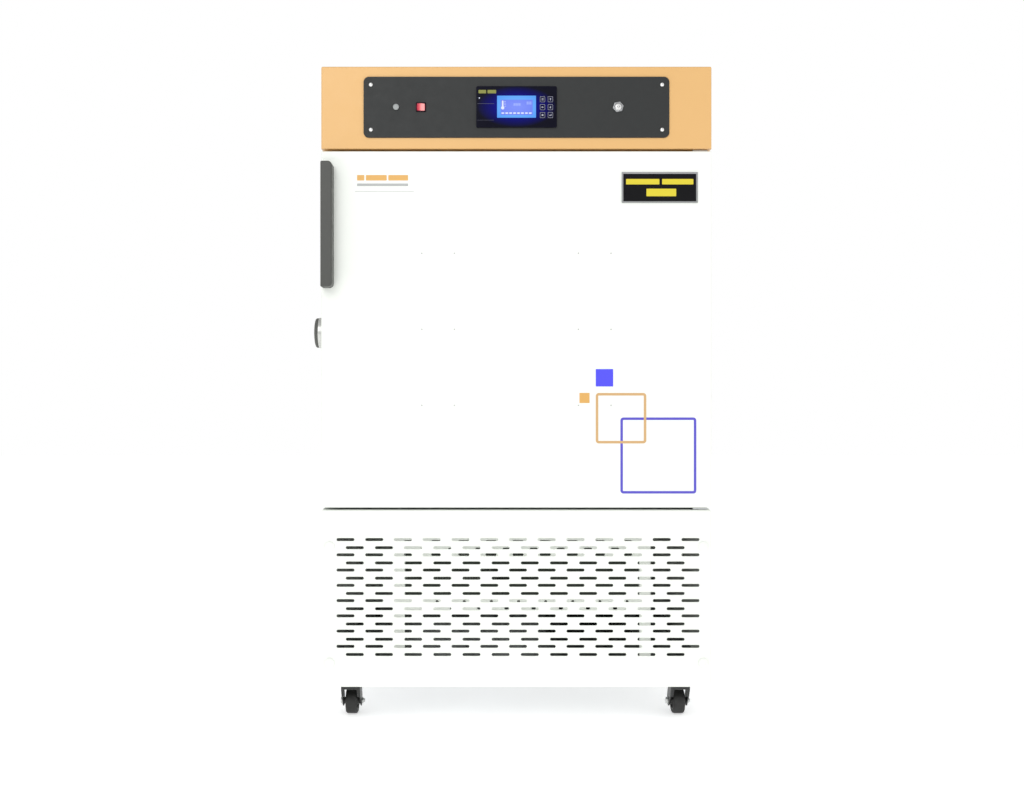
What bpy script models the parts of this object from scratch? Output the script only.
"""Laboratory incubator shaker: an insulated cabinet on casters, with a full-width door on the right-hand
hinges, a control housing on top, an orbital platform in the chamber and its machinery behind a slotted
front panel. Metres, +Z up, the door faces -Y. The origin is on the floor, under the middle of the
overall width and depth."""

import math

import bmesh
import bpy
from mathutils import Matrix, Vector

# Driving dimensions, in metres.
FIT = 0.0003  # left between pieces that touch
SHEET = 0.0015  # painted steel sheet
LINER_SHEET = 0.001  # stainless steel of the chamber and of the door's inner side
INSULATION = 0.060
THROUGH = 0.020  # length of a cutter that passes through a sheet
OVERSHOOT = 0.005  # how far half of a blind cutter's extra length reaches

CABINET_WIDTH = 0.750
CABINET_DEPTH = 0.700  # door face to rear wall
CASTER_HEIGHT = 0.075  # floor to the underside of the cabinet
GRILLE_HEIGHT = 0.340
DOOR_HEIGHT = 0.685
HOUSING_HEIGHT = 0.158
DOOR_THICKNESS = 0.055
DOOR_GAP = 0.0045  # above and below the door
SEAL_GAP = 0.008  # between the closed door and the front collar

GRILLE_FOLD = 0.020
SLOT_LENGTH = 0.034
SLOT_HEIGHT = 0.0052
SLOT_ROW_PAIRS = 8
SLOT_PAIR_PITCH = 0.0293
SLOT_STAGGER_DROP = 0.0156  # from a long row down to the short row under it
SLOT_TOP_MARGIN = 0.0566  # panel's top edge to the first row's centre
LONG_ROW = (13, 0.0552, 0.0030)  # slots in the row, their pitch, how far the row sits to the right
SHORT_ROW = (12, 0.0560, -0.0023)

PAN_DEPTH = 0.030
PAN_SHEET = 0.002
DECK_SHEET = 0.002

HINGE_PIN_RADIUS = 0.004
HINGE_PIN_CLEARANCE = 0.0005
HINGE_PIN_LENGTH = 0.014
HINGE_PIN_INSET = 0.0205  # from the cabinet's right side to the pin's axis
HINGE_PLATE = (0.028, 0.003)  # width, thickness
HINGE_PLATE_SETBACK = 0.010  # behind the door's face
HINGE_PIN_END_GAP = 0.002

HANDLE_WIDTH = 0.022
HANDLE_LENGTH = 0.239
HANDLE_REACH = 0.030
HANDLE_WALL = 0.003
HANDLE_INSET = 0.0025  # from the door's left edge
HANDLE_DROP = 0.0245  # below the door's top edge
HANDLE_CORNER = 0.008
HANDLE_ARC_STEPS = 5
NAMEPLATE_SIZE = (0.146, 0.059, 0.0016)
NAMEPLATE_CENTRE = (0.100, 0.0704)  # from the door's right edge and from its top edge

GASKET_WIDTH = 0.018
GASKET_INSET = 0.0215  # from the door's edges
PLUG_DEPTH = 0.012  # how far the door's inner panel steps into the chamber
PLUG_CLEARANCE = 0.012

PANEL_SIZE = (0.5866, 0.117, 0.002)
PANEL_CORNER = 0.0105
HOUSING_CUTOUT = (0.550, 0.090)
BEZEL_SIZE = (0.1544, 0.0787, 0.004)
BEZEL_EDGE = 0.0012
CONTROLLER_BODY = (0.146, 0.070, 0.045)
WINDOW_SIZE = (0.0745, 0.042, 0.0012)
KEY_SIZE = (0.0105, 0.0117, 0.0012)
KEY_PITCH = 0.0151
KEY_COLUMN_OFFSET = 0.0497  # controller's middle to the first column of keys
KEY_ROW_DROP = 0.0012  # controller's middle down to the middle row of keys
KEY_TRAVEL = 0.0008
KEY_SIDE_GAP = 0.0004
KEY_REST_PROUD = 0.0003
ROCKER_OFFSET = -0.1832  # panel's middle to each control
BUTTON_OFFSET = -0.231
RING_SWITCH_OFFSET = 0.195
ROCKER_FRAME = (0.0195, 0.018, 0.0016)
ROCKER_OPENING = (0.0155, 0.014)
ROCKER_WALL = 0.0012  # of the frame's body, behind the panel
ROCKER_BODY_DEPTH = 0.016
ROCKER_POCKET = 0.012
ROCKER_EDGE = 0.0005
ROCKER_END_GAP = 0.0007
ROCKER_SIDE_GAP = 0.0004
ROCKER_PROFILE = (0.0012, 0.0024, 0.0050)  # height of its ends and its middle, depth of its back
ROCKER_PIVOT_PROUD = 0.0005  # in front of the panel's face
ROCKER_TILT = math.radians(9.0)
BUTTON_RADIUS = 0.0058
BUTTON_STEM_RADIUS = 0.0035
BUTTON_TRAVEL = 0.0015
BUTTON_DOME = 0.0030
BUTTON_SKIRT = 0.001  # straight part of the dome's side
BUTTON_STEM_LENGTH = 0.012
RING_RADIUS = 0.010
RING_BARREL_RADIUS = 0.008
RING_BORE_RADIUS = 0.0060
RING_HEIGHT = 0.0040
RING_BEVEL = (0.0025, 0.002)
RING_BARREL_LENGTH = 0.022
RING_BUTTON_LENGTH = 0.016
RING_BUTTON_PROUD = 0.0005
RING_BUTTON_EDGE = 0.0006
INLET_FLANGE = (0.050, 0.028, 0.004)
INLET_WALL = 0.002
INLET_FLOOR = 0.006
INLET_BODY = (0.028, 0.021, 0.026)
INLET_OFFSET = 0.260  # cabinet's middle to the mains inlet
BOARD_SIZE = (0.200, 0.130, 0.0016)
BOARD_OFFSET = 0.060  # cabinet's middle to the board's
BOARD_RISE = 0.012
BOARD_POST = (0.090, 0.055, 0.004)  # its place from the board's middle, its radius
BOARD_PARTS = (  # place from the board's middle, size
    ((-0.065, 0.020, 0.018), (0.050, 0.045, 0.036)),
    ((0.000, 0.035, 0.010), (0.030, 0.020, 0.020)),
    ((0.045, 0.035, 0.010), (0.030, 0.020, 0.020)),
    ((0.020, -0.048, 0.007), (0.110, 0.014, 0.014)),
)

BAFFLE_SHEET = 0.0012
DUCT_DEPTH = 0.070
RETURN_SLOT = (0.110, 0.008)
RETURN_SLOT_PITCH = (0.140, 0.022)
RETURN_SLOT_COLUMNS = 4
RETURN_SLOT_ROWS = 3
RETURN_SLOT_RISE = 0.040  # baffle's lower edge to the first row
FAN_HOLE_RADIUS = 0.074
FAN_RADIUS = 0.068
FAN_RISE = 0.110  # above the chamber's middle
FAN_HUB = (0.018, 0.018)  # radius, depth
FAN_BLADES = 5
BLADE_THICKNESS = 0.0018
BLADE_CHORD = 0.52  # of the wheel's radius
BLADE_PITCH = math.radians(28)
FAN_MOTOR = (0.035, 0.034)  # radius, length
FAN_MOTOR_GAP = 0.002
HEATER_SETBACK = 0.030  # in front of the chamber's rear wall
HEATER_RADIUS = 0.095
HEATER_STEPS = 24
EVAPORATOR_DROP = 0.040  # heater's ring to the first pass
EVAPORATOR_BEND_STEPS = 6
HEATER_ROD = 0.004
EVAPORATOR_ROD = 0.0048
EVAPORATOR_SPAN = 0.400
EVAPORATOR_PASSES = 4
EVAPORATOR_PITCH = 0.045

PLATFORM_SIZE = (0.500, 0.420)
PLATFORM_RIM = 0.030
PLATFORM_SHEET = 0.003
PLATFORM_RISE = 0.053  # chamber floor to the platform's underside
PLATFORM_BOSS_RADIUS = 0.026
PLATFORM_BOSS_DROP = 0.016
PLATFORM_BOSS_ROOF = 0.002  # left above the pins' holes
ORBIT_RADIUS = 0.0125
CRANK_SHAFT_RADIUS = 0.012
CRANK_DISC = (0.048, 0.012)  # radius, thickness
CRANK_PIN_RADIUS = 0.008
CRANK_DISC_RISE = 0.020  # chamber floor to the disc's underside
IDLER_OFFSET = 0.180  # main shaft to each idler shaft
IDLER_DISC = (0.030, 0.010)
IDLER_PIN_RADIUS = 0.006
IDLER_PIN_CLEARANCE = 0.002  # the opened pivots of the linkage
SHAFT_CLEARANCE = 0.001
PIN_END_GAP = 0.004
SHAFT_END = 0.006  # below the crank's pulley
PULLEY_DROP = 0.052  # compartment deck to the pulleys' top face
PULLEY_THICKNESS = 0.014
CRANK_PULLEY_RADIUS = 0.070
MOTOR_PULLEY_RADIUS = 0.025
MOTOR_OFFSET = -0.190  # crank shaft to the motor's shaft
MOTOR_BODY = (0.045, 0.090)  # radius, length
MOTOR_SHAFT_RADIUS = 0.006
MOTOR_SHAFT_DEPTH = 0.009  # into the motor
MOTOR_FLANGE = (0.104, 0.006)
MOTOR_FLANGE_DROP = 0.010  # pulley's underside to the flange
MOTOR_POST = (0.0045, 0.006)  # radius, distance in from the flange's edge
BELT_WIDTH = 0.010
BELT_THICKNESS = 0.003

CONDENSER_SETBACK = 0.080  # behind the cabinet's front
CONDENSER_LEFT = 0.242  # from the cabinet's middle
CONDENSER_RIGHT = 0.270
CONDENSER_TOP_BAR = (0.313, 0.351)  # heights of the bar's lower and upper edge
CONDENSER_LOW_BAR = (0.2015, 0.2315)
CONDENSER_POST = 0.022
CONDENSER_CORE_DEPTH = 0.044
CONDENSER_FAN_RADIUS = 0.060
CONDENSER_FAN_SETBACK = 0.012  # core's rear to the fan's middle
SHROUD_BORE = 0.065
SHROUD_WALL = 0.003
SHROUD_DEPTH = 0.034
SHROUD_OVERLAP = 0.002
STRUT = (0.006, 0.012, 0.004)  # depth, height, distance from the shroud's rear
FAN_CORE = (0.020, 0.012)  # radius and length of the motor on the strut
COMPRESSOR_PLACE = (0.185, 0.190)  # from the cabinet's middle, to the right and to the rear
COMPRESSOR_RADIUS = 0.078
COMPRESSOR_HEIGHT = 0.175
COMPRESSOR_PLATE = (0.200, 0.150, 0.004)
COMPRESSOR_SEAM = (0.005, 0.006)  # how far it stands out, half of its height
COMPRESSOR_SINK = 0.001  # the shell's base into the plate
COMPRESSOR_SHELL_TOP = ((0, 1), (0.45, 0.985), (0.80, 0.90), (0.97, 0.74))  # shares of radius, height
COMPRESSOR_SHELL_LOW = ((0.97, 0.20), (0.75, 0.05), (0.55, 0), (0, 0))
TERMINAL_BOX = (0.030, 0.060, 0.060)
TERMINAL_BOX_OFFSET = 0.004  # its middle beyond the shell's side
TERMINAL_BOX_DROP = 0.045  # its middle below the seam

PORT_RADIUS = 0.031
PORT_BOSS = 0.0215
PORT_CAP_THICKNESS = 0.0062
PORT_TUBE_RADIUS = 0.020
PORT_BORE_RADIUS = 0.017
PORT_PLUG = 0.014
PORT_INNER_LIP = 0.003  # how far the tube stands into the chamber
PORT_EDGE = 0.002
PORT_CAP_INSET = 0.001
PORT_CAP_EDGE = (0.003, 0.002)
PORT_SETBACK = 0.125  # behind the door's face

REAR_VENT_SIZE = (0.560, 0.240)
REAR_VENT_DEPTH = 0.012
REAR_VENT_SLOT = (0.150, 0.006)
REAR_VENT_COLUMNS = 3
REAR_VENT_ROWS = 8
REAR_VENT_MARGIN = 0.25  # at the sides, as a share of the columns' pitch

CASTER_INSET = 0.050  # cabinet's side to the swivel axis
CASTER_SETBACK = 0.070  # cabinet's front or rear to the swivel axis
WHEEL_RADIUS = 0.025
WHEEL_WIDTH = 0.024
HUB_WIDTH = 0.026
HUB_RADIUS = 0.010
TYRE_EDGE = (0.003, 0.004)
AXLE_RADIUS = 0.004
AXLE_CLEARANCE = 0.0004
CASTER_TRAIL = 0.020  # swivel axis to the wheel's axle
FORK_SHEET = 0.0025
FORK_PLATE_RADIUS = 0.0205
FORK_PLATE_THICKNESS = 0.008
FORK_TIP = 0.009  # round end of a cheek about the axle
FORK_REAR = (0.014, 0.012, 0.55)  # rear edge from the swivel axis at the top, and at a share of the height
FORK_FRONT = 0.016
AXLE_PROUD = 0.004
STEM_RADIUS = 0.006
STEM_LENGTH = 0.026

# Places that follow from the sizes above.
SKIRT_Z = CASTER_HEIGHT
DECK_Z = SKIRT_Z + GRILLE_HEIGHT
DOOR_LOW = DECK_Z + DOOR_GAP
DOOR_TOP = DOOR_LOW + DOOR_HEIGHT
HOUSING_LOW = DOOR_TOP + DOOR_GAP
TOP_Z = HOUSING_LOW + HOUSING_HEIGHT
PORT_REACH = PORT_BOSS + FIT + PORT_CAP_THICKNESS
CENTRE_X = PORT_REACH / 2
LEFT = CENTRE_X - CABINET_WIDTH / 2
RIGHT = CENTRE_X + CABINET_WIDTH / 2
FRONT = (HANDLE_REACH - CABINET_DEPTH - REAR_VENT_DEPTH) / 2
BACK = FRONT + CABINET_DEPTH
DOOR_BACK = FRONT + DOOR_THICKNESS
COLLAR_Y = DOOR_BACK + SEAL_GAP
WALL = SHEET + FIT + INSULATION + FIT + LINER_SHEET  # outer face of the cabinet to the chamber
CHAMBER_LEFT = LEFT + WALL
CHAMBER_RIGHT = RIGHT - WALL
CHAMBER_BACK = BACK - WALL
CHAMBER_FLOOR = DECK_Z + FIT + INSULATION + FIT + LINER_SHEET
CHAMBER_TOP = HOUSING_LOW - FIT - INSULATION - FIT - LINER_SHEET
CHAMBER_FRONT = COLLAR_Y + SHEET + FIT
BAFFLE_Y = CHAMBER_BACK - DUCT_DEPTH
PANEL_Z = HOUSING_LOW + HOUSING_HEIGHT / 2
PANEL_FACE = FRONT - FIT - PANEL_SIZE[2]
BEZEL_FACE = PANEL_FACE - FIT - BEZEL_SIZE[2]
HINGE_X = RIGHT - HINGE_PIN_INSET
HINGE_Y = FRONT + DOOR_THICKNESS / 2
SHAFT_Y = (CHAMBER_FRONT + BAFFLE_Y) / 2
PULLEY_TOP = DECK_Z - DECK_SHEET - PULLEY_DROP
PORT_Y = FRONT + PORT_SETBACK
PORT_Z = (DOOR_LOW + DOOR_TOP) / 2
FAN_Z = (CHAMBER_FLOOR + CHAMBER_TOP) / 2 + FAN_RISE

TURN_TO = {
    "+X": (0, math.pi / 2, 0),
    "-X": (0, -math.pi / 2, 0),
    "+Y": (-math.pi / 2, 0, 0),
    "-Y": (math.pi / 2, 0, 0),
    "+Z": (0, 0, 0),
    "-Z": (math.pi, 0, 0),
    "+X upright": (math.pi / 2, 0, math.pi / 2),  # facing +X, with the outline's second axis upwards
}

for old in list(bpy.data.objects):
    bpy.data.objects.remove(old)

pieces = bpy.data.collections.new("laboratory_incubator")
helpers = bpy.data.collections.new("cutters")
bpy.context.scene.collection.children.link(pieces)
bpy.context.scene.collection.children.link(helpers)


def finish(name, colour, roughness, metallic=0.0):
    made = bpy.data.materials.new(name)
    made.use_nodes = True
    shader = made.node_tree.nodes["Principled BSDF"]
    shader.inputs["Base Color"].default_value = (*colour, 1.0)
    shader.inputs["Roughness"].default_value = roughness
    shader.inputs["Metallic"].default_value = metallic
    made.diffuse_color = (*colour, 1.0)
    return made


WHITE_PAINT = finish("white_paint", (0.90, 0.92, 0.89), 0.35)
ORANGE_PAINT = finish("orange_paint", (0.84, 0.53, 0.22), 0.40)
PANEL_BLACK = finish("panel_charcoal", (0.05, 0.055, 0.055), 0.45)
GLOSS_BLACK = finish("gloss_black", (0.01, 0.012, 0.03), 0.15)
SCREEN_BLUE = finish("screen_blue", (0.25, 0.42, 0.95), 0.20)
KEY_BLACK = finish("key_black", (0.02, 0.02, 0.03), 0.30)
SWITCH_RED = finish("switch_red", (0.75, 0.03, 0.06), 0.30)
BUTTON_GREY = finish("button_grey", (0.30, 0.30, 0.30), 0.40)
CHROME = finish("chrome", (0.80, 0.80, 0.80), 0.12, 1.0)
STAINLESS = finish("stainless", (0.62, 0.63, 0.64), 0.30, 1.0)
GALVANISED = finish("galvanised", (0.75, 0.76, 0.76), 0.45, 1.0)
FOAM = finish("foam", (0.85, 0.74, 0.48), 0.90)
GASKET_GREY = finish("gasket_grey", (0.32, 0.33, 0.33), 0.70)
HANDLE_GREY = finish("handle_grey", (0.09, 0.09, 0.08), 0.50)
PLATE_BLACK = finish("plate_black", (0.015, 0.015, 0.015), 0.40)
MOTOR_GREY = finish("motor_grey", (0.20, 0.21, 0.22), 0.50)
MACHINE_BLACK = finish("machine_black", (0.02, 0.02, 0.02), 0.45)
RUBBER_BLACK = finish("rubber_black", (0.02, 0.02, 0.02), 0.75)
COPPER = finish("copper", (0.72, 0.35, 0.20), 0.35, 1.0)
BOARD_GREEN = finish("board_green", (0.03, 0.20, 0.08), 0.50)
ALUMINIUM = finish("aluminium", (0.70, 0.70, 0.71), 0.35, 1.0)


# Making pieces -------------------------------------------------------------------------------------


def as_object(bm, place, turn=(0, 0, 0)):
    mesh = bpy.data.meshes.new("shape")
    bm.to_mesh(mesh)
    bm.free()
    made = bpy.data.objects.new("shape", mesh)
    made.location = place
    made.rotation_euler = turn
    return made


def block(low, high):
    """A box between two opposite corners, with its origin in the middle."""
    low, high = Vector(low), Vector(high)
    bm = bmesh.new()
    bmesh.ops.create_cube(bm, size=1.0, matrix=Matrix.Diagonal((*(high - low), 1.0)))
    return as_object(bm, (low + high) / 2)


def block_at(centre, size):
    centre, half = Vector(centre), Vector(size) / 2
    return block(centre - half, centre + half)


def open_box(low, high, open_sides, wall):
    """A box of sheet between two opposite corners, without its open sides; the wall lies inside them."""
    made = block(low, high)
    bm = bmesh.new()
    bm.from_mesh(made.data)
    outward = [Vector(side) for side in open_sides]
    gone = [face for face in bm.faces if any(face.normal.dot(side) > 0.9 for side in outward)]
    bmesh.ops.delete(bm, geom=gone, context="FACES")
    bm.to_mesh(made.data)
    bm.free()
    shell = made.modifiers.new("wall", "SOLIDIFY")
    shell.thickness = wall
    shell.offset = -1.0
    shell.use_even_offset = True
    return made


def cylinder(centre, radius, length, axis="+Z", sides=24, end_radius=None):
    bm = bmesh.new()
    far = radius if end_radius is None else end_radius
    bmesh.ops.create_cone(bm, cap_ends=True, segments=sides, radius1=radius, radius2=far, depth=length)
    return shade_round(as_object(bm, centre, TURN_TO[axis]))


def shade_round(made):
    made.data.shade_smooth()
    made.data.set_sharp_from_angle(angle=math.radians(35))
    return made


def turned(profile, place, axis="+Z", steps=24, ring=False):
    """A turned shape from (radius, height) points, listed down its outer side from top to bottom."""
    bm = bmesh.new()
    points = [bm.verts.new((radius, 0, height)) for radius, height in profile]
    pairs = list(zip(points, points[1:]))
    if ring:
        pairs.append((points[-1], points[0]))
    for start, end in pairs:
        bm.edges.new((start, end))
    made = as_object(bm, place, TURN_TO[axis])
    lathe = made.modifiers.new("turn", "SCREW")
    lathe.steps = steps
    lathe.render_steps = steps
    lathe.use_merge_vertices = True
    lathe.merge_threshold = 0.00001
    lathe.use_smooth_shade = True
    return made


def flat_plate(outline, holes, thickness, centre, facing="-Y"):
    """A flat piece from a closed outline with holes, its middle plane through the centre."""
    curve = bpy.data.curves.new("outline", "CURVE")
    curve.dimensions = "2D"
    curve.fill_mode = "BOTH"
    curve.extrude = thickness / 2
    for contour in [outline, *holes]:
        spline = curve.splines.new("POLY")
        spline.points.add(len(contour) - 1)
        for point, (across, up) in zip(spline.points, contour):
            point.co = (across, up, 0, 1)
        spline.use_cyclic_u = True
    made = bpy.data.objects.new("outline", curve)
    made.location = centre
    made.rotation_euler = TURN_TO[facing]
    return made


def rod(points, radius, cyclic=False):
    curve = bpy.data.curves.new("route", "CURVE")
    curve.dimensions = "3D"
    curve.bevel_depth = radius
    curve.bevel_resolution = 2
    curve.use_fill_caps = not cyclic
    spline = curve.splines.new("POLY")
    spline.points.add(len(points) - 1)
    for point, place in zip(spline.points, points):
        point.co = (*place, 1)
    spline.use_cyclic_u = cyclic
    return bpy.data.objects.new("route", curve)


def as_mesh(made):
    """The same shape as a closed mesh, so that it can be cut or joined."""
    helpers.objects.link(made)
    bpy.context.view_layer.update()
    evaluated = made.evaluated_get(bpy.context.evaluated_depsgraph_get())
    mesh = bpy.data.meshes.new_from_object(evaluated)
    bm = bmesh.new()
    bm.from_mesh(mesh)
    bmesh.ops.remove_doubles(bm, verts=bm.verts, dist=0.00001)
    bm.to_mesh(mesh)
    bm.free()
    copy = bpy.data.objects.new("shape", mesh)
    copy.matrix_world = made.matrix_world
    bpy.data.objects.remove(made)
    return copy


def combine(made, other, operation):
    other.hide_render = True
    other.display_type = "WIRE"
    if other.name not in helpers.objects:
        helpers.objects.link(other)
    step = made.modifiers.new(operation.lower(), "BOOLEAN")
    step.operation = operation
    step.object = other
    step.solver = "EXACT"


def cut(made, *cutters):
    for cutter in cutters:
        combine(made, cutter, "DIFFERENCE")


def join(made, *others):
    for other in others:
        combine(made, other, "UNION")


def round_edges(made, width, segments=2):
    edge = made.modifiers.new("edges", "BEVEL")
    edge.width = width
    edge.segments = segments
    edge.limit_method = "ANGLE"


def add_piece(name, made, material):
    made.name = name
    made.data.name = name
    made.data.materials.clear()
    made.data.materials.append(material)
    pieces.objects.link(made)
    return made


def rounded_rectangle(width, height, radius, arc_steps=4):
    points = []
    for quarter, (side_x, side_y) in enumerate([(1, 1), (-1, 1), (-1, -1), (1, -1)]):
        centre_x = side_x * (width / 2 - radius)
        centre_y = side_y * (height / 2 - radius)
        for step in range(arc_steps + 1):
            angle = math.pi / 2 * (quarter + step / arc_steps)
            points.append((centre_x + radius * math.cos(angle), centre_y + radius * math.sin(angle)))
    return points


def rectangle(width, height, across=0.0, up=0.0):
    return [
        (across + side_x * width / 2, up + side_y * height / 2)
        for side_x, side_y in [(1, 1), (-1, 1), (-1, -1), (1, -1)]
    ]


def circle(radius, steps, across=0.0, up=0.0):
    turns = [math.tau * step / steps for step in range(steps)]
    return [(across + radius * math.cos(turn), up + radius * math.sin(turn)) for turn in turns]


def move_origin(made, place):
    """Puts a piece's origin at a place, leaving its shape where it is."""
    shift = made.matrix_basis.inverted() @ Vector(place)
    made.data.transform(Matrix.Translation(-shift))
    made.location = place


# Cabinet -------------------------------------------------------------------------------------------


def build_base_pan():
    low = (LEFT + SHEET + FIT, FRONT + SHEET + FIT, SKIRT_Z + SHEET + FIT)
    high = (RIGHT - SHEET - FIT, BACK - SHEET - FIT, SKIRT_Z + SHEET + FIT + PAN_DEPTH)
    pan = open_box(low, high, [(0, 0, 1)], PAN_SHEET)
    for swivel_x, swivel_y in caster_places():
        cut(pan, cylinder((swivel_x, swivel_y, low[2]), STEM_RADIUS + FIT, THROUGH, sides=12))
    add_piece("base_pan", pan, GALVANISED)


def build_outer_wrapper():
    """The left, rear and right walls in one folded sheet; the sides reach further forward at the bottom."""
    low = (LEFT, FRONT + GRILLE_FOLD + FIT, SKIRT_Z)
    high = (RIGHT, BACK, HOUSING_LOW - FIT)
    wrapper = open_box(low, high, [(0, -1, 0), (0, 0, 1), (0, 0, -1)], SHEET)
    notch_high = (RIGHT + OVERSHOOT, COLLAR_Y, HOUSING_LOW + OVERSHOOT)
    notch = block((LEFT - OVERSHOOT, low[1] - OVERSHOOT, DECK_Z), notch_high)
    vent_width, vent_height = REAR_VENT_SIZE
    window = block_at(
        (CENTRE_X, BACK, rear_vent_z()),
        (vent_width - 2 * REAR_VENT_DEPTH, THROUGH, vent_height - 2 * REAR_VENT_DEPTH),
    )
    port = cylinder((LEFT, PORT_Y, PORT_Z), PORT_TUBE_RADIUS + FIT, THROUGH, "-X")
    cut(wrapper, notch, window, port)
    add_piece("outer_wrapper", wrapper, WHITE_PAINT)


def rear_vent_z():
    return (SKIRT_Z + DECK_Z) / 2


def build_rear_vent():
    width, height = REAR_VENT_SIZE
    low = (CENTRE_X - width / 2, BACK + FIT, rear_vent_z() - height / 2)
    high = (CENTRE_X + width / 2, BACK + REAR_VENT_DEPTH, rear_vent_z() + height / 2)
    cover = open_box(low, high, [(0, -1, 0)], SHEET)
    slot_width, slot_height = REAR_VENT_SLOT
    column_pitch = width / (REAR_VENT_COLUMNS + REAR_VENT_MARGIN)
    row_pitch = height / (REAR_VENT_ROWS + 1)
    slots = []
    for column in range(REAR_VENT_COLUMNS):
        for row in range(REAR_VENT_ROWS):
            across = CENTRE_X + (column - (REAR_VENT_COLUMNS - 1) / 2) * column_pitch
            up = rear_vent_z() + (row - (REAR_VENT_ROWS - 1) / 2) * row_pitch
            slots.append(((across, high[1], up), (slot_width, THROUGH, slot_height)))
    cut(cover, many_blocks(slots))
    add_piece("rear_vent_cover", cover, WHITE_PAINT)


def many_blocks(places_and_sizes):
    """One cutter made of separate boxes, each given by its centre and its size."""
    bm = bmesh.new()
    for centre, size in places_and_sizes:
        at = Matrix.Translation(Vector(centre)) @ Matrix.Diagonal((*size, 1.0))
        bmesh.ops.create_cube(bm, size=1.0, matrix=at)
    return as_object(bm, (0, 0, 0))


def build_front_grille():
    """The slotted service panel, folded back on all four sides."""
    low = (LEFT, FRONT, SKIRT_Z)
    high = (RIGHT, FRONT + GRILLE_FOLD, DECK_Z)
    grille = open_box(low, high, [(0, 1, 0)], SHEET)
    slots = []
    for pair in range(SLOT_ROW_PAIRS):
        long_z = DECK_Z - SLOT_TOP_MARGIN - pair * SLOT_PAIR_PITCH
        for (count, pitch, shift), row_z in ((LONG_ROW, long_z), (SHORT_ROW, long_z - SLOT_STAGGER_DROP)):
            for index in range(count):
                across = CENTRE_X + shift + (index - (count - 1) / 2) * pitch
                slots.append(((across, FRONT, row_z), (SLOT_LENGTH, THROUGH, SLOT_HEIGHT)))
    cut(grille, many_blocks(slots))
    add_piece("front_grille", grille, WHITE_PAINT)


def build_compartment_deck():
    low = (LEFT + SHEET + FIT, FRONT + GRILLE_FOLD + FIT, DECK_Z - DECK_SHEET)
    high = (RIGHT - SHEET - FIT, BACK - SHEET - FIT, DECK_Z)
    deck = block(low, high)
    cut(deck, shaft_cutter(CENTRE_X, CRANK_SHAFT_RADIUS + SHAFT_CLEARANCE))
    add_piece("compartment_deck", deck, GALVANISED)


def shaft_cutter(across, radius):
    """A hole down through the chamber's floor, its insulation and the deck."""
    return cylinder((across, SHAFT_Y, (DECK_Z + CHAMBER_FLOOR) / 2), radius, 2 * INSULATION)


def idler_cutter(across):
    """A blind hole for an idler's lower journal."""
    depth = INSULATION / 2
    centre = (across, SHAFT_Y, CHAMBER_FLOOR - depth / 2 + OVERSHOOT)
    return cylinder(centre, IDLER_PIN_RADIUS + SHAFT_CLEARANCE, depth + 2 * OVERSHOOT, sides=16)


def idler_places():
    return {"left": CENTRE_X - IDLER_OFFSET, "right": CENTRE_X + IDLER_OFFSET}


def build_insulation():
    low = (LEFT + SHEET + FIT, CHAMBER_FRONT, DECK_Z + FIT)
    high = (RIGHT - SHEET - FIT, BACK - SHEET - FIT, HOUSING_LOW - FIT)
    foam = open_box(low, high, [(0, -1, 0)], INSULATION)
    cut(foam, cylinder((LEFT + WALL / 2, PORT_Y, PORT_Z), PORT_TUBE_RADIUS + FIT, WALL, "-X"))
    cut(foam, shaft_cutter(CENTRE_X, CRANK_SHAFT_RADIUS + SHAFT_CLEARANCE))
    cut(foam, *[idler_cutter(across) for across in idler_places().values()])
    add_piece("chamber_insulation", foam, FOAM)


def build_liner():
    low = (CHAMBER_LEFT - LINER_SHEET, CHAMBER_FRONT, CHAMBER_FLOOR - LINER_SHEET)
    high = (CHAMBER_RIGHT + LINER_SHEET, CHAMBER_BACK + LINER_SHEET, CHAMBER_TOP + LINER_SHEET)
    liner = open_box(low, high, [(0, -1, 0)], LINER_SHEET)
    cut(liner, cylinder((CHAMBER_LEFT, PORT_Y, PORT_Z), PORT_TUBE_RADIUS + FIT, THROUGH, "-X"))
    cut(liner, shaft_cutter(CENTRE_X, CRANK_SHAFT_RADIUS + SHAFT_CLEARANCE))
    cut(liner, *[idler_cutter(across) for across in idler_places().values()])
    add_piece("chamber_liner", liner, STAINLESS)


def build_front_collar():
    """The flat frame around the chamber's mouth, which the door's seal closes on."""
    width = RIGHT - LEFT - 2 * (SHEET + FIT)
    height = HOUSING_LOW - DECK_Z - 2 * FIT
    centre = (CENTRE_X, COLLAR_Y + SHEET / 2, (DECK_Z + HOUSING_LOW) / 2)
    mouth_width = CHAMBER_RIGHT - CHAMBER_LEFT
    mouth_height = CHAMBER_TOP - CHAMBER_FLOOR
    mouth_shift = (CHAMBER_TOP + CHAMBER_FLOOR) / 2 - centre[2]
    hole = rectangle(mouth_width, mouth_height, up=mouth_shift)
    add_piece("front_collar", flat_plate(rectangle(width, height), [hole], SHEET, centre), WHITE_PAINT)


def build_hinges():
    """Two pivot plates, each with a pin that enters the door's edge; one hangs, the other stands."""
    width, thickness = HINGE_PLATE
    spots = {
        "top": (HOUSING_LOW - FIT - thickness / 2, -1),
        "bottom": (DECK_Z + FIT + thickness / 2, 1),
    }
    for name, (plate_z, toward_door) in spots.items():
        low = (HINGE_X - width / 2, FRONT + HINGE_PLATE_SETBACK, plate_z - thickness / 2)
        high = (HINGE_X + width / 2, COLLAR_Y - FIT, plate_z + thickness / 2)
        plate = block(low, high)
        pin_length = HINGE_PIN_LENGTH + thickness / 2
        pin_z = plate_z + toward_door * pin_length / 2
        join(plate, cylinder((HINGE_X, HINGE_Y, pin_z), HINGE_PIN_RADIUS, pin_length, sides=16))
        add_piece("hinge_bracket_" + name, plate, STAINLESS)


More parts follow.
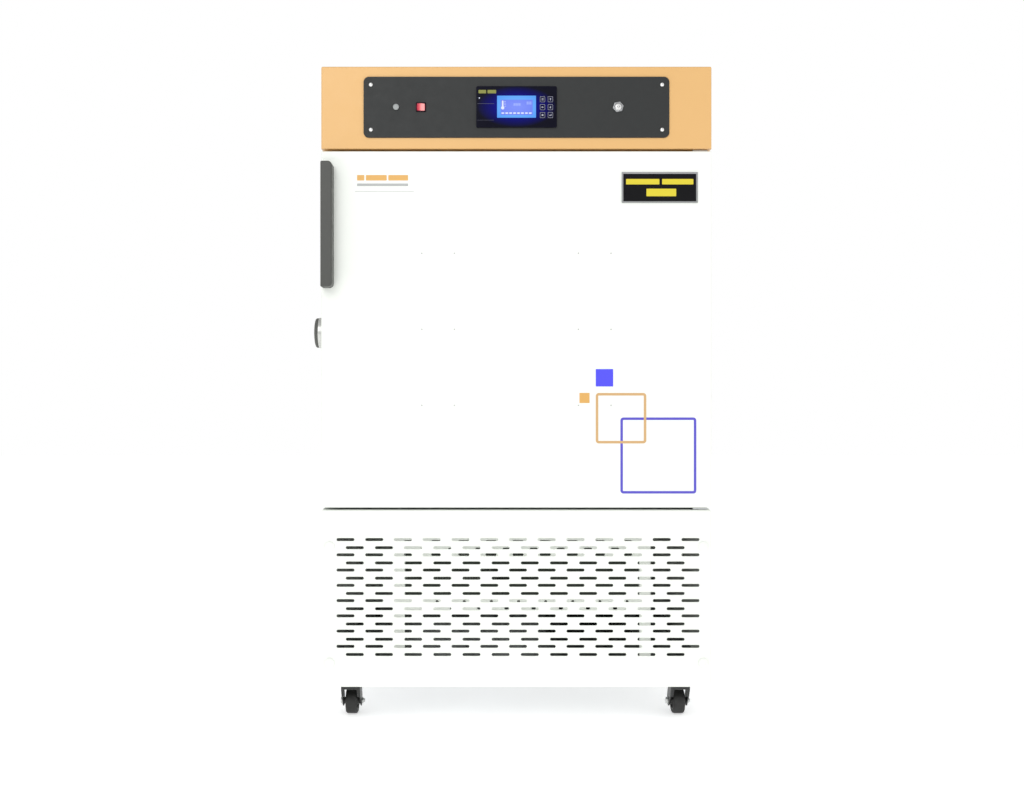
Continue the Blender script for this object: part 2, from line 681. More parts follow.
def build_port():
    sleeve_end = CHAMBER_LEFT + PORT_INNER_LIP
    tube_length = sleeve_end - (LEFT - FIT)
    profile = [
        (PORT_BORE_RADIUS, PORT_BOSS),
        (PORT_RADIUS - PORT_EDGE, PORT_BOSS),
        (PORT_RADIUS, PORT_BOSS - PORT_EDGE),
        (PORT_RADIUS, 0),
        (PORT_TUBE_RADIUS, 0),
        (PORT_TUBE_RADIUS, -tube_length),
        (PORT_BORE_RADIUS, -tube_length),
    ]
    sleeve = turned(profile, (LEFT - FIT, PORT_Y, PORT_Z), "-X", ring=True)
    add_piece("port_sleeve", sleeve, ALUMINIUM)
    cap_radius = PORT_RADIUS - PORT_CAP_INSET
    edge_across, edge_up = PORT_CAP_EDGE
    cap_profile = [
        (0, PORT_CAP_THICKNESS),
        (cap_radius - edge_across, PORT_CAP_THICKNESS),
        (cap_radius, PORT_CAP_THICKNESS - edge_up),
        (cap_radius, 0),
        (PORT_BORE_RADIUS - FIT, 0),
        (PORT_BORE_RADIUS - 2 * FIT, -PORT_PLUG),
        (0, -PORT_PLUG),
    ]
    cap = turned(cap_profile, (LEFT - PORT_BOSS - 2 * FIT, PORT_Y, PORT_Z), "-X")
    add_piece("port_cap", cap, RUBBER_BLACK)


# Control housing -----------------------------------------------------------------------------------


def build_housing():
    housing = open_box((LEFT, FRONT, HOUSING_LOW), (RIGHT, BACK, TOP_Z), [(0, 0, -1)], SHEET)
    inset = SHEET / 2
    lip = block((LEFT + inset, FRONT + inset, HOUSING_LOW), (RIGHT - inset, COLLAR_Y, HOUSING_LOW + SHEET))
    width, height = HOUSING_CUTOUT
    window = block_at((CENTRE_X, FRONT, PANEL_Z), (width, THROUGH, height))
    body_width, body_height, _ = INLET_BODY
    inlet_hole = block_at(
        (CENTRE_X + INLET_OFFSET, BACK, PANEL_Z), (body_width + 2 * FIT, THROUGH, body_height + 2 * FIT)
    )
    join(housing, lip)
    cut(housing, window, inlet_hole)
    add_piece("control_housing", housing, ORANGE_PAINT)


def build_control_panel():
    width, height, thickness = PANEL_SIZE
    body_width, body_height, _ = CONTROLLER_BODY
    opening_width, opening_height = rocker_body_size()
    holes = [
        rectangle(body_width + 2 * FIT, body_height + 2 * FIT),
        rectangle(opening_width + 2 * FIT, opening_height + 2 * FIT, across=ROCKER_OFFSET),
        circle(BUTTON_STEM_RADIUS + FIT, 16, across=BUTTON_OFFSET),
        circle(RING_BARREL_RADIUS + FIT, 20, across=RING_SWITCH_OFFSET),
    ]
    centre = (CENTRE_X, PANEL_FACE + thickness / 2, PANEL_Z)
    outline = rounded_rectangle(width, height, PANEL_CORNER)
    add_piece("control_panel", flat_plate(outline, holes, thickness, centre), PANEL_BLACK)


def key_places():
    """Centres of the six keys: two columns, three rows from the top."""
    places = []
    for row in range(3):
        for column in range(2):
            across = CENTRE_X + KEY_COLUMN_OFFSET + column * KEY_PITCH
            places.append((across, PANEL_Z - KEY_ROW_DROP + (1 - row) * KEY_PITCH))
    return places


def build_controller():
    bezel_width, bezel_height, bezel_depth = BEZEL_SIZE
    case = block(
        (CENTRE_X - bezel_width / 2, BEZEL_FACE, PANEL_Z - bezel_height / 2),
        (CENTRE_X + bezel_width / 2, BEZEL_FACE + bezel_depth, PANEL_Z + bezel_height / 2),
    )
    round_edges(case, BEZEL_EDGE)
    body_width, body_height, body_depth = CONTROLLER_BODY
    body_front = BEZEL_FACE + bezel_depth / 2
    body = block(
        (CENTRE_X - body_width / 2, body_front, PANEL_Z - body_height / 2),
        (CENTRE_X + body_width / 2, BEZEL_FACE + bezel_depth + body_depth, PANEL_Z + body_height / 2),
    )
    join(case, body)
    window_width, window_height, window_depth = WINDOW_SIZE
    pocket = (window_width + 2 * FIT, 2 * (window_depth + FIT), window_height + 2 * FIT)
    pockets = [((CENTRE_X, BEZEL_FACE, PANEL_Z), pocket)]
    key_width, key_height, key_depth = KEY_SIZE
    key_pocket_depth = key_depth + KEY_TRAVEL + FIT
    for across, up in key_places():
        size = (key_width + 2 * KEY_SIDE_GAP, 2 * key_pocket_depth, key_height + 2 * KEY_SIDE_GAP)
        pockets.append(((across, BEZEL_FACE, up), size))
    cut(case, many_blocks(pockets))
    add_piece("controller_case", case, GLOSS_BLACK)
    window_centre = (CENTRE_X, BEZEL_FACE + window_depth / 2, PANEL_Z)
    window = block_at(window_centre, (window_width, window_depth, window_height))
    add_piece("display_window", window, SCREEN_BLUE)
    for number, (across, up) in enumerate(key_places(), start=1):
        centre = (across, BEZEL_FACE - KEY_REST_PROUD + key_depth / 2, up)
        add_piece(f"key_{number}", block_at(centre, (key_width, key_depth, key_height)), KEY_BLACK)


def rocker_body_size():
    """The part of the rocker's frame that passes through the panel."""
    width, height = ROCKER_OPENING
    return width + 2 * ROCKER_WALL, height + 2 * ROCKER_WALL


def build_rocker():
    frame_width, frame_height, frame_depth = ROCKER_FRAME
    body_width, body_height = rocker_body_size()
    opening_width, opening_height = ROCKER_OPENING
    across = CENTRE_X + ROCKER_OFFSET
    face = PANEL_FACE - FIT - frame_depth
    body_back = PANEL_FACE + ROCKER_BODY_DEPTH
    frame = block_at((across, face + frame_depth / 2, PANEL_Z), (frame_width, frame_depth, frame_height))
    round_edges(frame, ROCKER_EDGE)
    join(
        frame,
        block(
            (across - body_width / 2, face + frame_depth / 2, PANEL_Z - body_height / 2),
            (across + body_width / 2, body_back, PANEL_Z + body_height / 2),
        ),
    )
    cut(frame, block_at((across, face, PANEL_Z), (opening_width, 2 * ROCKER_POCKET, opening_height)))
    add_piece("rocker_frame", frame, PANEL_BLACK)

    half = opening_width / 2 - ROCKER_END_GAP
    end, middle, back = ROCKER_PROFILE
    front = [(-half, end), (0.0, middle), (half, end)]
    outline = [*front, (half, -end), (half / 2, -back), (-half / 2, -back), (-half, -end)]
    pivot = (across, PANEL_FACE - ROCKER_PIVOT_PROUD, PANEL_Z)
    rocker = as_mesh(flat_plate(outline, [], opening_height - 2 * ROCKER_SIDE_GAP, pivot, facing="-Z"))
    rocker.rotation_euler = (math.pi, 0, ROCKER_TILT)  # at rest, its right end is pressed in
    add_piece("power_rocker", rocker, SWITCH_RED)


def build_push_button():
    """A grey domed push button, whose stem slides in the panel."""
    travel = BUTTON_TRAVEL + FIT
    profile = [(0, BUTTON_DOME + travel)]
    for step in range(1, 5):
        angle = math.pi / 2 * step / 4
        height = travel + BUTTON_SKIRT + (BUTTON_DOME - BUTTON_SKIRT) * math.cos(angle)
        profile.append((BUTTON_RADIUS * math.sin(angle), height))
    profile += [
        (BUTTON_RADIUS, travel),
        (BUTTON_STEM_RADIUS, travel),
        (BUTTON_STEM_RADIUS, -BUTTON_STEM_LENGTH),
        (0, -BUTTON_STEM_LENGTH),
    ]
    button = turned(profile, (CENTRE_X + BUTTON_OFFSET, PANEL_FACE, PANEL_Z), "-Y", steps=20)
    add_piece("push_button", button, BUTTON_GREY)


def build_ring_switch():
    place = (CENTRE_X + RING_SWITCH_OFFSET, PANEL_FACE - FIT, PANEL_Z)
    bevel_across, bevel_up = RING_BEVEL
    profile = [
        (RING_BORE_RADIUS, RING_HEIGHT),
        (RING_RADIUS - bevel_across, RING_HEIGHT),
        (RING_RADIUS, RING_HEIGHT - bevel_up),
        (RING_RADIUS, 0),
        (RING_BARREL_RADIUS, 0),
        (RING_BARREL_RADIUS, -RING_BARREL_LENGTH),
        (RING_BORE_RADIUS, -RING_BARREL_LENGTH),
    ]
    add_piece("ring_switch_body", turned(profile, place, "-Y", steps=18, ring=True), CHROME)
    button_radius = RING_BORE_RADIUS - FIT
    top = RING_HEIGHT + RING_BUTTON_PROUD
    button_profile = [
        (0, top),
        (button_radius - RING_BUTTON_EDGE, top),
        (button_radius, top - RING_BUTTON_EDGE),
        (button_radius, -RING_BUTTON_LENGTH),
        (0, -RING_BUTTON_LENGTH),
    ]
    button = turned(button_profile, place, "-Y", steps=18)
    add_piece("ring_switch_button", button, STAINLESS)


def build_control_board():
    """The power board, standing on the chamber's insulation inside the housing."""
    middle = Vector((CENTRE_X + BOARD_OFFSET, (COLLAR_Y + BACK) / 2, HOUSING_LOW + BOARD_RISE))
    board = block_at(middle, BOARD_SIZE)
    for place, size in BOARD_PARTS:
        join(board, block_at(middle + Vector(place), size))
    post_x, post_y, post_radius = BOARD_POST
    for side_x in (-1, 1):
        for side_y in (-1, 1):
            centre = middle + Vector((side_x * post_x, side_y * post_y, -BOARD_RISE / 2))
            join(board, cylinder(centre, post_radius, BOARD_RISE, sides=8))
    add_piece("control_board", board, BOARD_GREEN)


def build_mains_inlet():
    """A cord inlet with its flange on the housing's rear and a socket recess open to the rear."""
    across = CENTRE_X + INLET_OFFSET
    flange_width, flange_height, flange_depth = INLET_FLANGE
    body_width, body_height, body_depth = INLET_BODY
    inlet = block(
        (across - flange_width / 2, BACK + FIT, PANEL_Z - flange_height / 2),
        (across + flange_width / 2, BACK + FIT + flange_depth, PANEL_Z + flange_height / 2),
    )
    join(
        inlet,
        block(
            (across - body_width / 2, BACK - body_depth, PANEL_Z - body_height / 2),
            (across + body_width / 2, BACK + flange_depth / 2, PANEL_Z + body_height / 2),
        ),
    )
    recess_depth = body_depth - INLET_FLOOR
    recess_size = (body_width - 2 * INLET_WALL, 2 * recess_depth, body_height - 2 * INLET_WALL)
    cut(inlet, block_at((across, BACK + flange_depth, PANEL_Z), recess_size))
    add_piece("mains_inlet", inlet, MACHINE_BLACK)


# Door ----------------------------------------------------------------------------------------------


def hinge_hole():
    """Clears both pins where they enter the door."""
    radius = HINGE_PIN_RADIUS + HINGE_PIN_CLEARANCE
    depth = HINGE_PIN_LENGTH + HINGE_PIN_END_GAP
    length = depth + 2 * OVERSHOOT
    bm = bmesh.new()
    for edge_z, inward in ((DOOR_TOP, -1), (DOOR_LOW, 1)):
        at = Matrix.Translation((HINGE_X, HINGE_Y, edge_z + inward * (depth / 2 - OVERSHOOT)))
        bmesh.ops.create_cone(
            bm, cap_ends=True, segments=16, radius1=radius, radius2=radius, depth=length, matrix=at
        )
    return as_object(bm, (0, 0, 0))


def build_door():
    low = (LEFT, FRONT, DOOR_LOW)
    high = (RIGHT, DOOR_BACK, DOOR_TOP)
    shell = open_box(low, high, [(0, 1, 0)], SHEET)
    cut(shell, hinge_hole())
    add_piece("door_shell", shell, WHITE_PAINT)

    inset = SHEET + FIT
    foam = block(
        (LEFT + inset, FRONT + inset, DOOR_LOW + inset),
        (RIGHT - inset, DOOR_BACK - LINER_SHEET - FIT, DOOR_TOP - inset),
    )
    cut(foam, hinge_hole())
    add_piece("door_insulation", foam, FOAM)

    add_piece("door_liner", door_liner(), STAINLESS)
    width = CABINET_WIDTH - 2 * GASKET_INSET
    height = DOOR_HEIGHT - 2 * GASKET_INSET
    hole = rectangle(width - 2 * GASKET_WIDTH, height - 2 * GASKET_WIDTH)
    centre = (CENTRE_X, DOOR_BACK + SEAL_GAP / 2, (DOOR_LOW + DOOR_TOP) / 2)
    gasket = flat_plate(rectangle(width, height), [hole], SEAL_GAP - 2 * FIT, centre)
    add_piece("door_gasket", gasket, GASKET_GREY)


def door_liner():
    """The door's inner sheet: a flat rim with a raised middle that steps into the chamber's mouth."""
    inset = SHEET + FIT
    liner = block(
        (LEFT + inset, DOOR_BACK - LINER_SHEET, DOOR_LOW + inset),
        (RIGHT - inset, DOOR_BACK, DOOR_TOP - inset),
    )
    low = Vector((CHAMBER_LEFT + PLUG_CLEARANCE, DOOR_BACK, CHAMBER_FLOOR + PLUG_CLEARANCE))
    high = Vector((CHAMBER_RIGHT - PLUG_CLEARANCE, DOOR_BACK + PLUG_DEPTH, CHAMBER_TOP - PLUG_CLEARANCE))
    back = Vector((0, LINER_SHEET / 2, 0))
    inner = Vector((LINER_SHEET, 0, LINER_SHEET))
    join(liner, block(low - back, high))
    cut(liner, block(low + inner - 4 * back, high - inner - 2 * back))
    return liner


def build_handle():
    """A pull for the fingers: a shell that is open at the left, with its right corners rounded."""
    width, length = HANDLE_WIDTH, HANDLE_LENGTH
    left = LEFT + HANDLE_INSET
    top = DOOR_TOP - HANDLE_DROP
    contour = []
    corner_x = width / 2 - HANDLE_CORNER
    for start, corner_y in ((-math.pi / 2, HANDLE_CORNER - length / 2), (0, length / 2 - HANDLE_CORNER)):
        for step in range(HANDLE_ARC_STEPS + 1):
            angle = start + math.pi / 2 * step / HANDLE_ARC_STEPS
            across = corner_x + HANDLE_CORNER * math.cos(angle)
            contour.append((across, corner_y + HANDLE_CORNER * math.sin(angle)))
    contour += [(-width / 2, length / 2), (-width / 2, -length / 2)]
    centre = (left + width / 2, FRONT - HANDLE_REACH / 2 - FIT / 2, top - length / 2)
    handle = as_mesh(flat_plate(contour, [], HANDLE_REACH - FIT, centre))
    pocket = block(
        (left - OVERSHOOT, FRONT - HANDLE_REACH + HANDLE_WALL, top - length + 2 * HANDLE_WALL),
        (left + width - HANDLE_WALL, FRONT + OVERSHOOT, top - 2 * HANDLE_WALL),
    )
    cut(handle, pocket)
    shade_round(handle)
    add_piece("door_handle", handle, HANDLE_GREY)


def build_nameplate():
    width, height, thickness = NAMEPLATE_SIZE
    from_right, from_top = NAMEPLATE_CENTRE
    centre = (RIGHT - from_right, FRONT - FIT - thickness / 2, DOOR_TOP - from_top)
    add_piece("nameplate", block_at(centre, (width, thickness, height)), PLATE_BLACK)


def hang_on_hinge(*names):
    """Puts the origins of the door's pieces on the hinge's axis."""
    for name in names:
        move_origin(pieces.objects[name], (HINGE_X, HINGE_Y, DOOR_LOW))


# Chamber air circuit -------------------------------------------------------------------------------


def build_baffle():
    width = CHAMBER_RIGHT - CHAMBER_LEFT - 2 * FIT
    height = CHAMBER_TOP - CHAMBER_FLOOR - 2 * FIT
    middle_z = (CHAMBER_TOP + CHAMBER_FLOOR) / 2
    holes = [circle(FAN_HOLE_RADIUS, 32, up=FAN_RISE)]
    pitch_across, pitch_up = RETURN_SLOT_PITCH
    for column in range(RETURN_SLOT_COLUMNS):
        for row in range(RETURN_SLOT_ROWS):
            across = (column - (RETURN_SLOT_COLUMNS - 1) / 2) * pitch_across
            up = -height / 2 + RETURN_SLOT_RISE + row * pitch_up
            holes.append(rectangle(*RETURN_SLOT, across, up))
    centre = (CENTRE_X, BAFFLE_Y + BAFFLE_SHEET / 2, middle_z)
    baffle = flat_plate(rectangle(width, height), holes, BAFFLE_SHEET, centre)
    add_piece("air_baffle", baffle, STAINLESS)


def bladed_wheel(centre, radius):
    """A fan wheel facing -Y: a hub with flat pitched blades."""
    hub_radius, depth = FAN_HUB
    wheel = cylinder(centre, hub_radius, depth, "-Y", sides=16)
    for blade in range(FAN_BLADES):
        angle = math.tau * blade / FAN_BLADES
        span = radius - hub_radius / 2
        bm = bmesh.new()
        shape = Matrix.Diagonal((span, BLADE_THICKNESS, radius * BLADE_CHORD, 1.0))
        pitch = Matrix.Rotation(BLADE_PITCH, 4, "X")
        outwards = Matrix.Translation((hub_radius / 2 + span / 2, 0, 0))
        around = Matrix.Rotation(angle, 4, "Y")
        bmesh.ops.create_cube(bm, size=1.0, matrix=around @ outwards @ pitch @ shape)
        join(wheel, as_object(bm, centre))
    return wheel


def build_air_circuit():
    motor_radius, motor_length = FAN_MOTOR
    motor_y = CHAMBER_BACK - FIT - motor_length / 2
    motor = cylinder((CENTRE_X, motor_y, FAN_Z), motor_radius, motor_length, "-Y", sides=20)
    add_piece("fan_motor", motor, MOTOR_GREY)
    fan_y = CHAMBER_BACK - FIT - motor_length - FAN_MOTOR_GAP - FAN_HUB[1] / 2
    add_piece("circulation_fan", bladed_wheel((CENTRE_X, fan_y, FAN_Z), FAN_RADIUS), ALUMINIUM)

    ring = []
    heater_y = CHAMBER_BACK - HEATER_SETBACK
    for step in range(HEATER_STEPS):
        angle = math.tau * step / HEATER_STEPS
        across = CENTRE_X + HEATER_RADIUS * math.cos(angle)
        ring.append((across, heater_y, FAN_Z + HEATER_RADIUS * math.sin(angle)))
    add_piece("heater_ring", rod(ring, HEATER_ROD, cyclic=True), STAINLESS)

    top = FAN_Z - HEATER_RADIUS - EVAPORATOR_DROP
    route = []
    for row in range(EVAPORATOR_PASSES):
        side = 1 if row % 2 == 0 else -1
        up = top - row * EVAPORATOR_PITCH
        route.append((CENTRE_X - side * EVAPORATOR_SPAN / 2, heater_y, up))
        if row == EVAPORATOR_PASSES - 1:
            route.append((CENTRE_X + side * EVAPORATOR_SPAN / 2, heater_y, up))
            break
        radius = EVAPORATOR_PITCH / 2
        for step in range(EVAPORATOR_BEND_STEPS):
            angle = math.pi / 2 - math.pi * step / EVAPORATOR_BEND_STEPS
            across = CENTRE_X + side * (EVAPORATOR_SPAN / 2 + radius * math.cos(angle))
            route.append((across, heater_y, up - radius + radius * math.sin(angle)))
    add_piece("evaporator_tube", rod(route, EVAPORATOR_ROD), COPPER)


# Orbital shaker ------------------------------------------------------------------------------------


def build_platform():
    """The shaking tray, drawn with its crank pin at the right of the shaft."""
    width, depth = PLATFORM_SIZE
    underside = CHAMBER_FLOOR + PLATFORM_RISE
    middle = CENTRE_X + ORBIT_RADIUS
    tray = open_box(
        (middle - width / 2, SHAFT_Y - depth / 2, underside),
        (middle + width / 2, SHAFT_Y + depth / 2, underside + PLATFORM_RIM),
        [(0, 0, 1)],
        PLATFORM_SHEET,
    )
    boss_low = underside - PLATFORM_BOSS_DROP
    boss_height = PLATFORM_BOSS_DROP + PLATFORM_SHEET / 2
    pin_hole = PLATFORM_BOSS_DROP - PLATFORM_BOSS_ROOF
    holes = [(0.0, CRANK_PIN_RADIUS + FIT)]
    holes += [(side * IDLER_OFFSET, IDLER_PIN_RADIUS + IDLER_PIN_CLEARANCE) for side in (-1, 1)]
    for across, _ in holes:
        centre = (middle + across, SHAFT_Y, boss_low + boss_height / 2)
        join(tray, cylinder(centre, PLATFORM_BOSS_RADIUS, boss_height, sides=20))
    for across, radius in holes:
        centre = (middle + across, SHAFT_Y, boss_low + pin_hole / 2 - OVERSHOOT)
        cut(tray, cylinder(centre, radius, pin_hole + 2 * OVERSHOOT, sides=16))
    add_piece("shaker_platform", tray, ALUMINIUM)
    move_origin(tray, (middle, SHAFT_Y, boss_low))


def crank(across, disc, disc_rise, shaft, pin_radius):
    """A disc with a shaft below its middle and an offset pin above, its origin on the shaft."""
    disc_radius, disc_thickness = disc
    shaft_radius, shaft_low = shaft
    disc_low = CHAMBER_FLOOR + disc_rise
    pin_top = CHAMBER_FLOOR + PLATFORM_RISE - PIN_END_GAP
    made = cylinder((across, SHAFT_Y, disc_low + disc_thickness / 2), disc_radius, disc_thickness)
    shaft_high = disc_low + disc_thickness / 2
    shaft_centre = (across, SHAFT_Y, (shaft_low + shaft_high) / 2)
    pin_centre = (across + ORBIT_RADIUS, SHAFT_Y, (shaft_high + pin_top) / 2)
    join(
        made,
        cylinder(shaft_centre, shaft_radius, shaft_high - shaft_low, sides=20),
        cylinder(pin_centre, pin_radius, pin_top - shaft_high, sides=16),
    )
    return made


def build_cranks():
    shaft = (CRANK_SHAFT_RADIUS, PULLEY_TOP - PULLEY_THICKNESS - SHAFT_END)
    main = crank(CENTRE_X, CRANK_DISC, CRANK_DISC_RISE, shaft, CRANK_PIN_RADIUS)
    add_piece("drive_crank", main, STAINLESS)
    for name, across in idler_places().items():
        journal = (IDLER_PIN_RADIUS, CHAMBER_FLOOR - INSULATION / 2 + PIN_END_GAP)
        idler = crank(across, IDLER_DISC, CRANK_DISC_RISE, journal, IDLER_PIN_RADIUS)
        add_piece("idler_crank_" + name, idler, STAINLESS)
    bore = CRANK_SHAFT_RADIUS + FIT
    half = PULLEY_THICKNESS / 2
    profile = [(bore, half), (CRANK_PULLEY_RADIUS, half), (CRANK_PULLEY_RADIUS, -half), (bore, -half)]
    place = (CENTRE_X, SHAFT_Y, PULLEY_TOP - half)
    add_piece("crank_pulley", turned(profile, place, steps=32, ring=True), ALUMINIUM)


def build_drive_motor():
    across = CENTRE_X + MOTOR_OFFSET
    radius, length = MOTOR_BODY
    flange_top = PULLEY_TOP - PULLEY_THICKNESS - MOTOR_FLANGE_DROP
    flange_size, flange_thickness = MOTOR_FLANGE
    motor = block_at(
        (across, SHAFT_Y, flange_top - flange_thickness / 2), (flange_size, flange_size, flange_thickness)
    )
    body_top = flange_top - flange_thickness / 2
    join(motor, cylinder((across, SHAFT_Y, body_top - length / 2), radius, length))
    post_top = DECK_Z - DECK_SHEET - FIT
    post_low = flange_top - flange_thickness / 2
    post_radius, post_inset = MOTOR_POST
    reach = flange_size / 2 - post_inset
    for side_x in (-1, 1):
        for side_y in (-1, 1):
            centre = (across + side_x * reach, SHAFT_Y + side_y * reach, (post_low + post_top) / 2)
            join(motor, cylinder(centre, post_radius, post_top - post_low, sides=8))
    shaft_hole = cylinder((across, SHAFT_Y, flange_top), MOTOR_SHAFT_RADIUS + FIT, THROUGH, sides=16)
    cut(motor, shaft_hole)
    add_piece("drive_motor", motor, MOTOR_GREY)

    pulley_middle = PULLEY_TOP - PULLEY_THICKNESS / 2
    pulley = cylinder((across, SHAFT_Y, pulley_middle), MOTOR_PULLEY_RADIUS, PULLEY_THICKNESS)
    shaft_low = flange_top - MOTOR_SHAFT_DEPTH
    shaft_length = pulley_middle - shaft_low
    shaft_centre = (across, SHAFT_Y, shaft_low + shaft_length / 2)
    join(pulley, cylinder(shaft_centre, MOTOR_SHAFT_RADIUS, shaft_length, sides=16))
    add_piece("motor_pulley", pulley, ALUMINIUM)


def belt_loop(small, large, distance, arc_steps=14):
    """A closed loop around a small circle at the left and a large one, joined by their outer tangents."""
    lean = math.asin((large - small) / distance)
    points = []
    for step in range(arc_steps + 1):
        angle = -math.pi / 2 - lean + (math.pi + 2 * lean) * step / arc_steps
        points.append((large * math.cos(angle), large * math.sin(angle)))
    for step in range(arc_steps + 1):
        angle = math.pi / 2 + lean + (math.pi - 2 * lean) * step / arc_steps
        points.append((small * math.cos(angle) - distance, small * math.sin(angle)))
    return points


def build_belt():
    """The belt's circles are a little larger, since its loop is drawn with flat sides between its points."""
    slack = 1 / math.cos(math.pi / 24)
    small = (MOTOR_PULLEY_RADIUS + FIT) * slack
    large = (CRANK_PULLEY_RADIUS + FIT) * slack
    distance = -MOTOR_OFFSET
    inner = belt_loop(small, large, distance)
    outer = belt_loop(small + BELT_THICKNESS, large + BELT_THICKNESS, distance)
    centre = (CENTRE_X, SHAFT_Y, PULLEY_TOP - PULLEY_THICKNESS / 2)
    add_piece("drive_belt", flat_plate(outer, [inner], BELT_WIDTH, centre, facing="+Z"), RUBBER_BLACK)


# Refrigeration -------------------------------------------------------------------------------------


def build_condenser():
    floor = SKIRT_Z + SHEET + FIT + PAN_SHEET + FIT
    left, right = CENTRE_X - CONDENSER_LEFT, CENTRE_X + CONDENSER_RIGHT
    low_bar, top_bar = CONDENSER_LOW_BAR, CONDENSER_TOP_BAR
    middle_x = (left + right) / 2
    middle_z = (floor + top_bar[1]) / 2
    front = FRONT + CONDENSER_SETBACK
    inner_width = right - left - 2 * CONDENSER_POST
    window = rectangle(inner_width, top_bar[0] - low_bar[1], up=(top_bar[0] + low_bar[1]) / 2 - middle_z)
    below = (floor + CONDENSER_POST + low_bar[0]) / 2
    opening = rectangle(inner_width, low_bar[0] - floor - CONDENSER_POST, up=below - middle_z)
    outline = rectangle(right - left, top_bar[1] - floor)
    frame = flat_plate(outline, [window, opening], SHEET, (middle_x, front + SHEET / 2, middle_z))
    add_piece("condenser_frame", frame, WHITE_PAINT)

    core_front = front + SHEET + FIT
    core_back = core_front + CONDENSER_CORE_DEPTH
    margin = CONDENSER_POST / 2
    core = block(
        (left + margin, core_front, low_bar[0] + margin), (right - margin, core_back, top_bar[1] - margin)
    )
    fan_z = (low_bar[0] + top_bar[1]) / 2
    inner, outer = SHROUD_BORE, SHROUD_BORE + SHROUD_WALL
    ends = (SHROUD_DEPTH, -SHROUD_OVERLAP)
    shroud_profile = [(inner, ends[0]), (outer, ends[0]), (outer, ends[1]), (inner, ends[1])]
    shroud = turned(shroud_profile, (middle_x, core_back, fan_z), "+Y", steps=24, ring=True)
    strut_depth, strut_height, strut_inset = STRUT
    strut_y = core_back + SHROUD_DEPTH - strut_inset
    strut = block_at((middle_x, strut_y, fan_z), (2 * inner + SHROUD_WALL, strut_depth, strut_height))
    motor = cylinder((middle_x, strut_y, fan_z), *FAN_CORE, "+Y", sides=16)
    join(core, shroud, strut, motor)
    add_piece("condenser", core, ALUMINIUM)
    fan = bladed_wheel((middle_x, core_back + CONDENSER_FAN_SETBACK, fan_z), CONDENSER_FAN_RADIUS)
    add_piece("condenser_fan", fan, MACHINE_BLACK)


def build_compressor():
    floor = SKIRT_Z + SHEET + FIT + PAN_SHEET + FIT
    across = CENTRE_X + COMPRESSOR_PLACE[0]
    along = COMPRESSOR_PLACE[1]
    thickness = COMPRESSOR_PLATE[2]
    radius, height = COMPRESSOR_RADIUS, COMPRESSOR_HEIGHT
    middle = height / 2
    proud, half_seam = COMPRESSOR_SEAM
    profile = [(radius * share, height * up) for share, up in COMPRESSOR_SHELL_TOP]
    profile += [(radius, middle + half_seam), (radius + proud, middle + half_seam)]
    profile += [(radius + proud, middle - half_seam), (radius, middle - half_seam)]
    profile += [(radius * share, height * up) for share, up in COMPRESSOR_SHELL_LOW]
    shell = turned(profile, (across, along, floor + thickness - COMPRESSOR_SINK), steps=24)
    join(shell, block_at((across, along, floor + thickness / 2), COMPRESSOR_PLATE))
    box_z = floor + middle - TERMINAL_BOX_DROP
    box_centre = (across - radius - TERMINAL_BOX_OFFSET, along, box_z)
    join(shell, block_at(box_centre, TERMINAL_BOX))
    add_piece("compressor", shell, MACHINE_BLACK)


# Casters -------------------------------------------------------------------------------------------


def caster_places():
    xs = (LEFT + CASTER_INSET, RIGHT - CASTER_INSET)
    ys = (FRONT + CASTER_SETBACK, BACK - CASTER_SETBACK)
    return [(across, along) for along in ys for across in xs]


def build_casters():
    names = ("front_left", "front_right", "rear_left", "rear_right")
    for name, (across, along) in zip(names, caster_places()):
        build_fork("caster_fork_" + name, across, along)
        build_wheel("caster_wheel_" + name, across, along + CASTER_TRAIL)


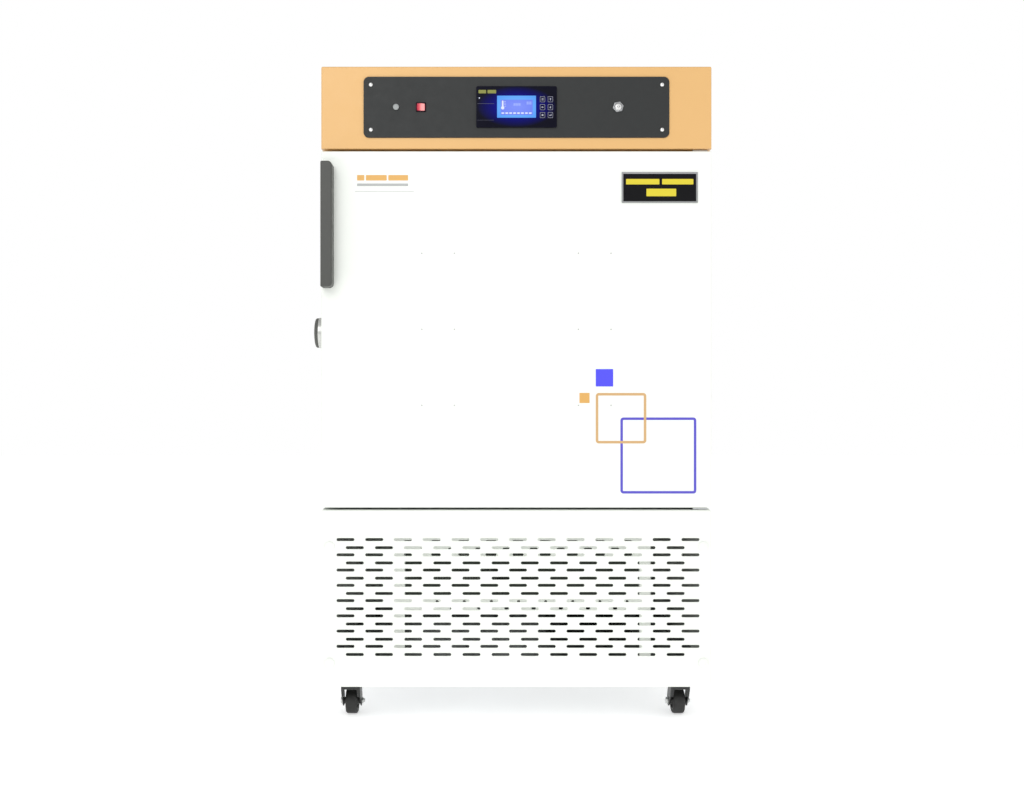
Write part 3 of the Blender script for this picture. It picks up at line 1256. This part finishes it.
def build_fork(name, across, along):
    """A swivel fork: a round head with a stem into the base pan, two cheeks and the axle between them."""
    head_top = SKIRT_Z + SHEET
    head_low = head_top - FORK_PLATE_THICKNESS
    head_centre = (across, along, (head_top + head_low) / 2)
    fork = cylinder(head_centre, FORK_PLATE_RADIUS, FORK_PLATE_THICKNESS, sides=20)
    stem_top = head_top + STEM_LENGTH
    stem_low = head_low + FORK_PLATE_THICKNESS / 2
    join(fork, cylinder((across, along, (stem_top + stem_low) / 2), STEM_RADIUS, stem_top - stem_low, sides=12))
    inner = HUB_WIDTH / 2 + FIT
    axle_z = WHEEL_RADIUS
    axle_y = along + CASTER_TRAIL
    for side in (-1, 1):
        cheek_x = across + side * (inner + FORK_SHEET / 2)
        tip, slant = FORK_TIP, FORK_TIP * 0.4
        rise = head_low + FORK_PLATE_THICKNESS / 2 - axle_z
        rear_top, rear_low, share = FORK_REAR
        contour = [
            (-CASTER_TRAIL - rear_top, rise),
            (-CASTER_TRAIL - rear_low, rise * share),
            (-tip, -slant),
            (-slant, -tip),
            (slant, -tip),
            (tip, -slant),
            (tip, tip),
            (-CASTER_TRAIL + FORK_FRONT, rise),
        ]
        cheek_centre = (cheek_x, axle_y, axle_z)
        join(fork, as_mesh(flat_plate(contour, [], FORK_SHEET, cheek_centre, "+X upright")))
    axle_length = 2 * (inner + FORK_SHEET + AXLE_PROUD)
    join(fork, cylinder((across, axle_y, axle_z), AXLE_RADIUS, axle_length, "+X", sides=12))
    add_piece(name, fork, MACHINE_BLACK)


def build_wheel(name, across, axle_y):
    bore = AXLE_RADIUS + AXLE_CLEARANCE
    half_hub, half = HUB_WIDTH / 2, WHEEL_WIDTH / 2
    edge_in, edge_across = TYRE_EDGE
    profile = [
        (bore, half_hub),
        (HUB_RADIUS, half_hub),
        (HUB_RADIUS, half),
        (WHEEL_RADIUS - edge_in, half),
        (WHEEL_RADIUS, half - edge_across),
    ]
    profile += [(radius, -height) for radius, height in reversed(profile)]
    wheel = turned(profile, (across, axle_y, WHEEL_RADIUS), "+X", steps=24, ring=True)
    add_piece(name, wheel, RUBBER_BLACK)


build_base_pan()
build_outer_wrapper()
build_rear_vent()
build_front_grille()
build_compartment_deck()
build_insulation()
build_liner()
build_front_collar()
build_hinges()
build_port()
build_housing()
build_control_panel()
build_controller()
build_rocker()
build_push_button()
build_ring_switch()
build_control_board()
build_mains_inlet()
build_door()
build_handle()
build_nameplate()
hang_on_hinge("door_shell", "door_insulation", "door_liner", "door_gasket", "door_handle", "nameplate")
build_baffle()
build_air_circuit()
build_platform()
build_cranks()
build_drive_motor()
build_belt()
build_condenser()
build_compressor()
build_casters()
